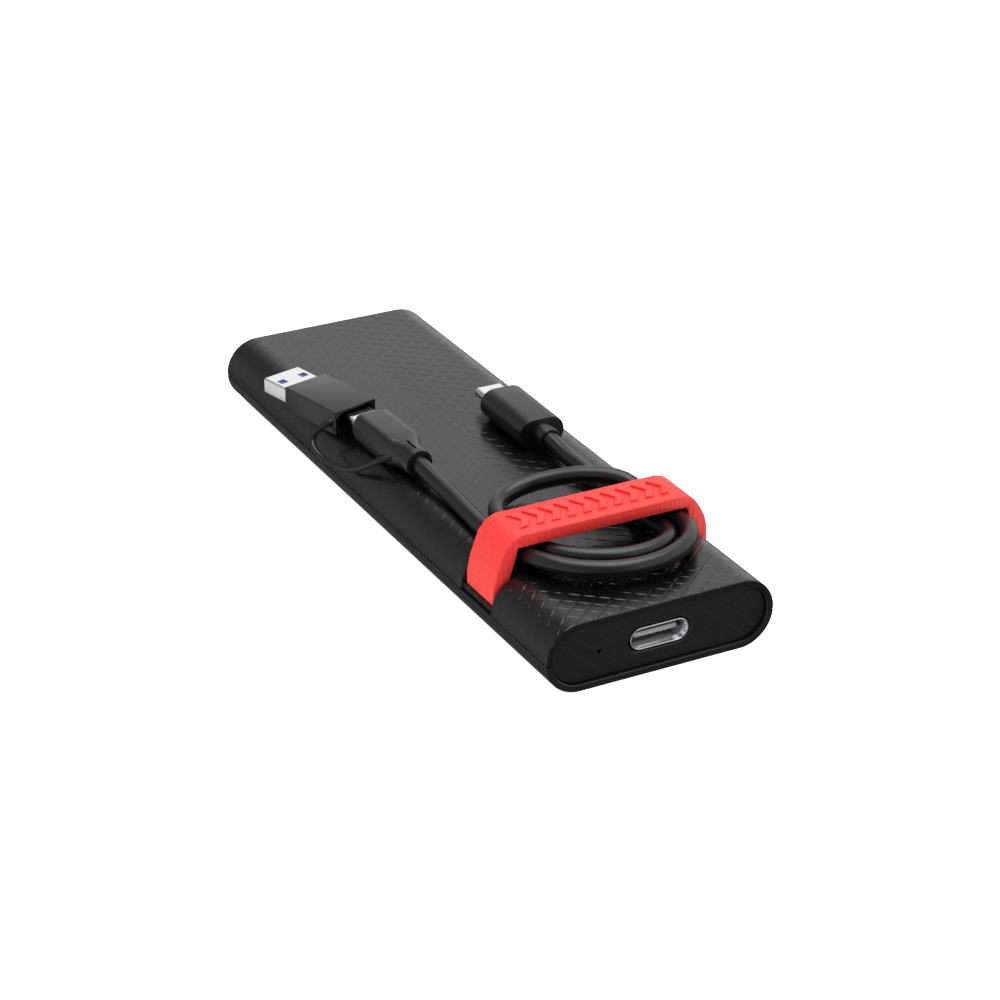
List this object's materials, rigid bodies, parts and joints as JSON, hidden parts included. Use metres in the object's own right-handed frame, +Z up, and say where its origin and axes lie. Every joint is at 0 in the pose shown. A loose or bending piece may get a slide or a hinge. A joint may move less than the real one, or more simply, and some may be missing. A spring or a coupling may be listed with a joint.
{
  "type": "solid state drive",
  "caption": "Slim black portable solid state drive with round flanks, a port at one end, and its cable and adapter stowed under a coral elastic strap on top.",
  "frame": {"origin": "middle of the base, on the surface that the drive lies on", "axes": "+X to the right seen from the port end, +Y along the length away from the port, +Z up"},
  "size_m": [0.0378, 0.1058, 0.0157],
  "materials": {
    "textured_black": "fine diamond relief, satin",
    "plain_black": "plain satin",
    "end_black": "matt, faint brushed lines",
    "coral_silicone": "matt silicone with a fine weave",
    "cable_black": "smooth satin jacket",
    "plug_black": "satin overmould",
    "nickel": "polished nickel plate",
    "zinc": "zinc plate",
    "blue_insulator": "moulded",
    "green_board": "solder mask",
    "chip_black": "moulded epoxy",
    "grey_pad": "soft thermal gel",
    "aluminium": "bent sheet",
    "brass": "turned",
    "clear_lamp": "clear moulded lens",
    "connector_black": "moulded"
  },
  "bodies": {
    "enclosure": {"upper_shell": "textured_black", "lower_shell": "plain_black", "front_end_plate": "end_black", "rear_end_plate": "end_black", "strap": "coral_silicone", "strap_bar_left": "aluminium", "strap_bar_right": "aluminium", "port_shell": "nickel", "port_tongue": "green_board", "base_tray": "aluminium", "bridge_board": "green_board", "board_screw_left": "zinc", "board_screw_right": "zinc", "bridge_chip": "chip_black", "status_lamp": "clear_lamp", "drive_connector": "connector_black", "drive_board": "green_board", "drive_controller": "chip_black", "drive_memory": "chip_black", "flash_package_front": "chip_black", "flash_package_rear": "chip_black", "thermal_pad": "grey_pad", "standoff": "brass", "drive_screw": "zinc"},
    "cable_set": {"cable": "cable_black", "tether": "cable_black", "left_plug_body": "plug_black", "left_plug_tip": "nickel", "right_plug_body": "plug_black", "right_plug_neck": "plug_black", "right_plug_tip": "nickel"},
    "adapter": {"adapter_body": "plug_black", "adapter_socket": "nickel", "wide_plug_shell": "nickel", "wide_plug_insulator": "blue_insulator"}
  },
  "joints": [
    {"name": "cable_pull", "type": "slide", "parent": "enclosure", "child": "cable_set", "axis": [0, 1, 0], "range_m": [0, 0.021], "deforming": ["cable"]},
    {"name": "adapter_pull", "type": "slide", "parent": "cable_set", "child": "adapter", "axis": [-0.2351, 0.972, 0], "range_m": [0, 0.01], "deforming": ["tether"]}
  ]
}
